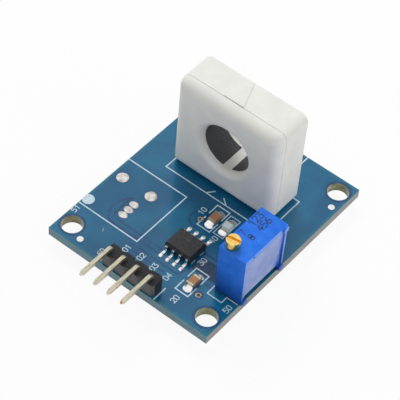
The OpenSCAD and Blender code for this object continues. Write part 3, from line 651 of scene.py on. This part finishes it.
MOUNT_HOLES = [(2.2, 2.75), (27.8, 2.75), (2.2, 34.5), (27.8, 34.5)]
BIG_PADS = [(1.75, 14.7), (7.35, 14.7)]
SMALL_PADS = [(6.55, 9.2), (6.55, 10.47), (6.55, 11.74)]
ROUND_MARKS = [(4.9, 1.44), (28.85, 31.36)]
VIAS = [(15.7, 16.3), (24.4, 5.05)]
CHIP = (17.6, 10.35)
CHIP_FEET = 3.0
CAPACITORS = [(17.35, 17.55), (22.5, 6.2)]
LAMP = (19.75, 17.6)
LEAD_PITCH = 1.27
LABELS = [("60", 9.25, 1.0), ("01", 11.55, 4.05), ("02", 14.15, 4.25), ("03", 16.75, 4.05),
          ("04", 19.35, 4.0), ("10", 15.3, 17.1), ("20", 22.75, 1.6), ("30", 21.4, 9.55),
          ("40", 20.0, 13.85), ("50", 29.55, 5.2), ("51", 0.95, 4.75)]
COPPER_ROUTES = [
    [(5.2, 12.4), (4.75, 11.6), (4.35, 10.6), (4.35, 9.0), (4.7, 8.1), (5.4, 7.3), (6.0, 7.07),
     (15.2, 7.07)],
    [(5.6, 12.7), (5.35, 12.1), (5.35, 8.9), (5.6, 8.3), (6.1, 8.0), (15.2, 8.0)],
    [(11.1, 5.3), (11.15, 5.75), (11.5, 5.95), (19.3, 5.95), (19.8, 6.15), (20.05, 6.6),
     (20.1, 7.2)],
    [(12.2, 4.95), (18.0, 4.95)],
    [(14.5, 17.3), (14.1, 16.5), (14.05, 15.7), (14.5, 14.95), (15.2, 14.6), (16.2, 14.55)],
    [(20.3, 11.65), (25.2, 11.65)],
    [(23.8, 7.2), (26.8, 7.2)],
]
TRIMMER_TOP = 9.8
TRIMMER_LABELS = [("123", 26.75, 13.6, 1.1), ("456", 28.2, 13.6, 1.1), ("7", 26.85, 11.3, 1.0),
                  ("8", 28.3, 11.5, 1.0)]

# The ring sensor's housing, in millimetres: where the middle of its opening is at the front
# face, its outline, its depth and the seam's place in it, its round opening, its walls, the
# groove at the seam, the bar across the core's slot, and the arrow on top
SENSOR_AT = (14.4, 22.1, 9.25)
HALF_WIDE, HALF_HIGH = 9.5, 8.95
CORNER_TOP, CORNER_LOW = 1.45, 0.9
CORNER_LEAST = 0.35
DEEP, SEAM = 7.3, 1.9
BORE, RIM, CORE_ROOM = 4.25, 1.1, 7.95
LIP, BACK_WALL = 1.2, 1.5
FRONT_ROUND, REAR_ROUND = 1.75, 0.5
GROOVE_WIDE, GROOVE_DEEP = 0.06, 0.085
BAR_LEFT, BAR_RIGHT, BAR_LOW = -0.5, 1.1, -5.25
ARROW = [(12.25, 24.02), (15.95, 24.02), (14.1, 28.9)]
ARROW_MIDDLE = (14.1, 25.65)
ARROW_FOOT, ARROW_SIDE, ARROW_FACE = 17.9, 18.34, 18.44
ARROW_SLOPE = 0.08


def board_print():
    """The screen print: outlines, brackets and place numbers."""
    mesh = bmesh.new()
    line(mesh, [(0.1, 18.2), (11.4, 18.2), (11.4, 6.65), (0.1, 6.65)])
    dot = [(max(x, 0.05), y) for x, y in arc((0.73, 8.0), 0.98)[:-1]]
    prism(mesh, dot, 0, PRINT_HIGH)
    line(mesh, [(12.8, 20.85), (5.2, 20.85), (5.2, 28.9), (24.6, 28.9), (24.6, 20.85),
                (17.1, 20.85)])
    line(mesh, [(13.87, 21.95), (13, 20.85), (16.9, 20.85), (15.77, 21.75)])
    line(mesh, [(20.2, 35.3), (20.2, 36.9)])
    line(mesh, [(20.1, 0.17), (20.1, 2.74)])
    line(mesh, [(9.75, 0.28), (9.75, 0.91)])
    line(mesh, [(20, 8.84), (20, 9.68)], 0.15)
    line(mesh, [(20, 10.87), (20, 11.62)], 0.15)
    for x, y in ((17.05, 17.65), (22.28, 6.22)):
        for side in (1, -1):
            line(mesh, [(x - 1.17, y + side * 0.48), (x - 1.17, y + side * 2.46),
                        (x + 1.17, y + side * 2.46), (x + 1.17, y + side * 0.48)])
    line(mesh, [(18.7, 15.53), (20.45, 15.53), (20.45, 19.82), (18.7, 19.82), (18.7, 15.53)], 0.15)
    line(mesh, [(25.13, 8.43), (25.13, 6.16), (27.75, 6.16), (27.75, 7.4), (29.7, 7.4)], 0.16)
    line(mesh, [(6.1, 5.25), (6.42, 4.75)], 0.06, 0, 0.008)
    for text, x, y in LABELS:
        digits(mesh, text, (x, y), height=0.85, width=0.13)
    finish_piece("board_print", mesh, SCREEN_PRINT)


def in_sensor(x, y, z):
    """A place in millimetres from the middle of the sensor's opening at its front face."""
    return spot(SENSOR_AT[0] + x, SENSOR_AT[1] + y, SENSOR_AT[2] + z)


def housing_outline(inset, arc_steps=10, side_steps=8):
    """The housing's rounded outline seen from the front, set in from its full size."""
    wide, high = HALF_WIDE - inset, HALF_HIGH - inset
    arcs = []
    for x, z, start, corner in ((1, 1, 0, CORNER_TOP), (-1, 1, 90, CORNER_TOP),
                                (-1, -1, 180, CORNER_LOW), (1, -1, 270, CORNER_LOW)):
        radius = max(corner - inset, CORNER_LEAST)
        middle = (x * (wide - radius), z * (high - radius))
        arcs.append(arc(middle, radius, start, start + 90, arc_steps))
    points = []
    for this, other in zip(arcs, arcs[1:] + arcs[:1]):
        points += this
        for k in range(1, side_steps):
            points.append(tuple(Vector(this[-1]).lerp(Vector(other[0]), k / side_steps)))
    return points


def housing_circle(radius):
    """A circle round the opening, with one point for each point of the outline."""
    turns = [math.atan2(z, x) for x, z in housing_outline(0)]
    return [(radius * math.cos(a), radius * math.sin(a)) for a in turns]


def housing_half(mesh, face, inward, wall, edge_round):
    """One half of the housing: from the opening over the face and the side to the seam."""
    quarter = [math.radians(90 * step / 8) for step in range(9)]
    rings = [(housing_circle(BORE), face + inward * wall)]
    rings += [(housing_circle(BORE + RIM * (1 - math.cos(t))),
               face + inward * RIM * (1 - math.sin(t))) for t in quarter]
    rings += [(housing_outline(edge_round * (1 - math.sin(t))),
               face + inward * edge_round * (1 - math.cos(t))) for t in quarter]
    rings += [(housing_outline(0), SEAM - inward * GROOVE_WIDE),
              (housing_outline(GROOVE_DEEP), SEAM), (housing_circle(CORE_ROOM), SEAM),
              (housing_circle(CORE_ROOM), face + inward * wall)]
    loops = [[mesh.verts.new(in_sensor(x, y, z)) for x, z in points] for points, y in rings]
    for this, other in zip(loops, loops[1:] + loops[:1]):
        for k in range(len(this)):
            j = (k + 1) % len(this)
            mesh.faces.new((this[k], this[j], other[j], other[k]))


def finish_housing(name, mesh, node):
    """Turns a half into a piece that stands for its CAD node, with its flat faces kept flat."""
    made = finish_piece(name, mesh, MATERIALS["housing_ivory"])
    made.modifiers.new("normals", "WEIGHTED_NORMAL").keep_sharp = True
    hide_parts(node)


def housing_front():
    """The housing's front half, with the softly rounded face."""
    mesh = bmesh.new()
    housing_half(mesh, 0, 1, LIP, FRONT_ROUND)
    finish_housing("housing_front", mesh, "sensor_cover")


def core_bar(mesh):
    """Adds the bar that closes the core's slot below the opening."""
    outline = [(BAR_LEFT, BAR_LOW), (BAR_RIGHT, BAR_LOW)]
    outline += [(x, -math.sqrt(BORE ** 2 - x ** 2))
                for x in (BAR_RIGHT - 0.2 * k for k in range(9))]
    front, back = [[mesh.verts.new(in_sensor(x, y, z)) for x, z in outline]
                   for y in (LIP, DEEP - BACK_WALL + 0.05)]
    mesh.faces.new(front)
    mesh.faces.new(back[::-1])
    for k in range(len(outline)):
        j = (k + 1) % len(outline)
        mesh.faces.new((front[k], back[k], back[j], front[j]))


def arrow(mesh):
    """Adds the raised arrow with its chamfered face."""
    face = [Vector(corner).lerp(Vector(ARROW_MIDDLE), ARROW_SLOPE) for corner in ARROW]
    loops = [[mesh.verts.new(spot(x, y, z)) for x, y in corners]
             for corners, z in ((ARROW, ARROW_FOOT), (ARROW, ARROW_SIDE), (face, ARROW_FACE))]
    mesh.faces.new(loops[0][::-1])
    mesh.faces.new(loops[2])
    for this, other in zip(loops, loops[1:]):
        for k in range(3):
            mesh.faces.new((this[k], this[(k + 1) % 3], other[(k + 1) % 3], other[k]))


def housing_rear():
    """The housing's rear half, with the bar across the core's slot and the arrow on top."""
    mesh = bmesh.new()
    housing_half(mesh, DEEP, -1, BACK_WALL, REAR_ROUND)
    core_bar(mesh)
    arrow(mesh)
    finish_housing("housing_rear", mesh, "sensor_case")


def copper_gaps():
    """The lines between the copper areas, which show through the mask."""
    mesh = bmesh.new()
    for route in COPPER_ROUTES:
        line(mesh, route, high=0.010)
    for centre in VIAS:
        flat_ring(mesh, centre, 0.5, 0.7)
    for centre in BIG_PADS:
        flat_ring(mesh, centre, 0.9, 1.12)
    for centre in SMALL_PADS:
        flat_ring(mesh, centre, 0.7, 0.93, squeeze=0.8)
    finish_piece("copper_gaps", mesh, MASK_GAP)


def hole_rims():
    """The ring round each mounting hole that has no copper under the mask."""
    mesh = bmesh.new()
    for centre in MOUNT_HOLES:
        flat_ring(mesh, centre, 1.71, 2.12)
    finish_piece("hole_rims", mesh, MASK_RIM)


def bare_area():
    """The area right of the chip that has no copper under the mask."""
    mesh = bmesh.new()
    prism(mesh, [(20.45, 8.2), (25.2, 8.2), (25.2, 11.0), (20.45, 11.0)], 0, 0.008)
    finish_piece("bare_area", mesh, MASK_BARE)


def below(profile):
    """The same profile on the board's underside, from the hole outwards."""
    return [(r, -BOARD_THICK - z) for r, z in reversed(profile)]


def spare_places():
    """The five filled places of the empty footprint: flat domes with a dimple, on both faces."""
    mesh = bmesh.new()
    dome = [(0.001, 0.055), (0.22, 0.06), (0.40, 0.105), (0.62, 0.13), (0.86, 0.085), (1.0, 0.012)]
    for places, radius, hole, squeeze in ((BIG_PADS, 0.97, 0.59, 1.0),
                                          (SMALL_PADS, 0.8, 0.29, 0.77)):
        upper = [(r * radius, z) for r, z in dome] + [(radius, 0), (hole, -0.001)]
        for centre in places:
            lathe(mesh, centre, upper + below(upper), squeeze)
    made = finish_piece("spare_places", mesh, PAD_TIN)
    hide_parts("spare_pad_solder")


def via_rings():
    """Tinned rings and sleeves of the two open vias."""
    mesh = bmesh.new()
    half = [(0.20, -0.02), (0.24, 0.03), (0.34, 0.05), (0.47, 0.035), (0.51, 0), (0.27, 0)]
    for centre in VIAS:
        lathe(mesh, centre, half + below(half))
    finish_piece("via_rings", mesh, VIA_TIN)


def round_marks():
    """The two round bare marks that the placing machine looks for, tinned."""
    mesh = bmesh.new()
    for centre in ROUND_MARKS:
        lathe(mesh, centre, [(0.001, 0), (0.001, 0.03), (0.35, 0.028), (0.5, 0.012), (0.52, 0)])
    finish_piece("round_marks", mesh, MATERIALS["solder"])


def chip_joints():
    """Solder at the comparator's feet and at the ends of the capacitors and the lamp."""
    mesh = bmesh.new()
    for column in range(4):
        x = CHIP[0] + (column - 1.5) * LEAD_PITCH
        for side in (-1, 1):
            heap(mesh, (x, CHIP[1] + side * (CHIP_FEET + 0.28)), 0.68, 1.05, 0.27)
    for x, y in CAPACITORS:
        for side in (-1, 1):
            fillet(mesh, (x, y + side * 0.99), side, 1.3, 0.95, 0.62)
    for side in (-1, 1):
        fillet(mesh, (LAMP[0], LAMP[1] + side * 0.99), side, 1.25, 0.8, 0.3)
    heap(mesh, (15.95, 17.0), 0.28, 0.28, 0.14)
    made = finish_piece("chip_joints", mesh, MATERIALS["solder"])
    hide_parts("chip_solder")


def chip_mark():
    """The faint round ejector mark in the comparator's top."""
    mesh = bmesh.new()
    lathe(mesh, (17.5, 11.1), [(0.26, 1.53), (0.38, 1.53), (0.38, 1.558), (0.26, 1.558)])
    finish_piece("chip_mark", mesh, CHIP_MARK)


def trimmer_numbers():
    """Plain digits printed on the trimmer's top."""
    mesh = bmesh.new()
    for text, x, y, height in TRIMMER_LABELS:
        digits(mesh, text, (x, y), height, width=0.2, base=TRIMMER_TOP)
    finish_piece("trimmer_numbers", mesh, DARK_INK)


for make in (dress_nodes, housing_front, housing_rear, board_print, copper_gaps, hole_rims,
             bare_area, spare_places, via_rings, round_marks, chip_joints, chip_mark,
             trimmer_numbers):
    make()


# Floor and light

FLOOR_WHITE = 0.92


def rays_that_see(tree):
    """One for rays of the camera and for gloss and glass, which show the white background."""
    path = tree.nodes.new("ShaderNodeLightPath")
    shown = path.outputs["Is Camera Ray"]
    for name in ("Is Glossy Ray", "Is Transmission Ray"):
        either = tree.nodes.new("ShaderNodeMath")
        either.operation = "MAXIMUM"
        tree.links.new(shown, either.inputs[0])
        tree.links.new(path.outputs[name], either.inputs[1])
        shown = either.outputs[0]
    return shown


def make_floor():
    """A pale floor that shows nearly white to the camera and keeps a soft shadow."""
    bpy.ops.mesh.primitive_plane_add(size=3, location=(0, 0, cad_box[0].z))
    floor = bpy.context.object
    floor.name = "floor"
    paper = bpy.data.materials.new("floor_paper")
    paper.use_nodes = True
    tree = paper.node_tree
    shader = tree.nodes["Principled BSDF"]
    shader.inputs["Base Color"].default_value = (0.85, 0.85, 0.85, 1)
    shader.inputs["Roughness"].default_value = 0.9
    shader.inputs["Specular IOR Level"].default_value = 0.1
    white = tree.nodes.new("ShaderNodeEmission")
    seen = tree.nodes.new("ShaderNodeMath")
    seen.operation = "MULTIPLY"
    seen.inputs[1].default_value = FLOOR_WHITE
    tree.links.new(rays_that_see(tree), seen.inputs[0])
    blend = tree.nodes.new("ShaderNodeMixShader")
    tree.links.new(seen.outputs[0], blend.inputs["Fac"])
    tree.links.new(shader.outputs[0], blend.inputs[1])
    tree.links.new(white.outputs[0], blend.inputs[2])
    tree.links.new(blend.outputs[0], tree.nodes["Material Output"].inputs["Surface"])
    floor.data.materials.append(paper)


def make_world(light):
    """A plain world: white to the camera and in gloss, and dimmer as a light."""
    world = bpy.data.worlds.new("studio")
    bpy.context.scene.world = world
    world.use_nodes = True
    tree = world.node_tree
    sky = tree.nodes["Background"]
    level = tree.nodes.new("ShaderNodeMapRange")
    level.inputs["To Min"].default_value = light
    level.inputs["To Max"].default_value = 1.0
    tree.links.new(rays_that_see(tree), level.inputs["Value"])
    tree.links.new(level.outputs["Result"], sky.inputs["Strength"])
    sky.inputs["Color"].default_value = (1, 1, 1, 1)


def softbox(name, place, size, power):
    """A square area lamp that faces the object; gloss shows the white world and not the lamp."""
    data = bpy.data.lights.new(name, "AREA")
    data.size = size
    data.energy = power
    lamp = bpy.data.objects.new(name, data)
    lamp.visible_glossy = False
    lamp.location = place
    lamp.rotation_euler = (-Vector(place)).to_track_quat("-Z", "Y").to_euler()
    bpy.context.scene.collection.objects.link(lamp)


bpy.context.scene.view_settings.view_transform = "Standard"
make_camera()
make_floor()
make_world(light=0.5)
softbox("key", (-0.22, 0.20, 0.34), size=0.14, power=0.92)
softbox("fill", (0.34, 0.02, 0.26), size=0.30, power=0.42)
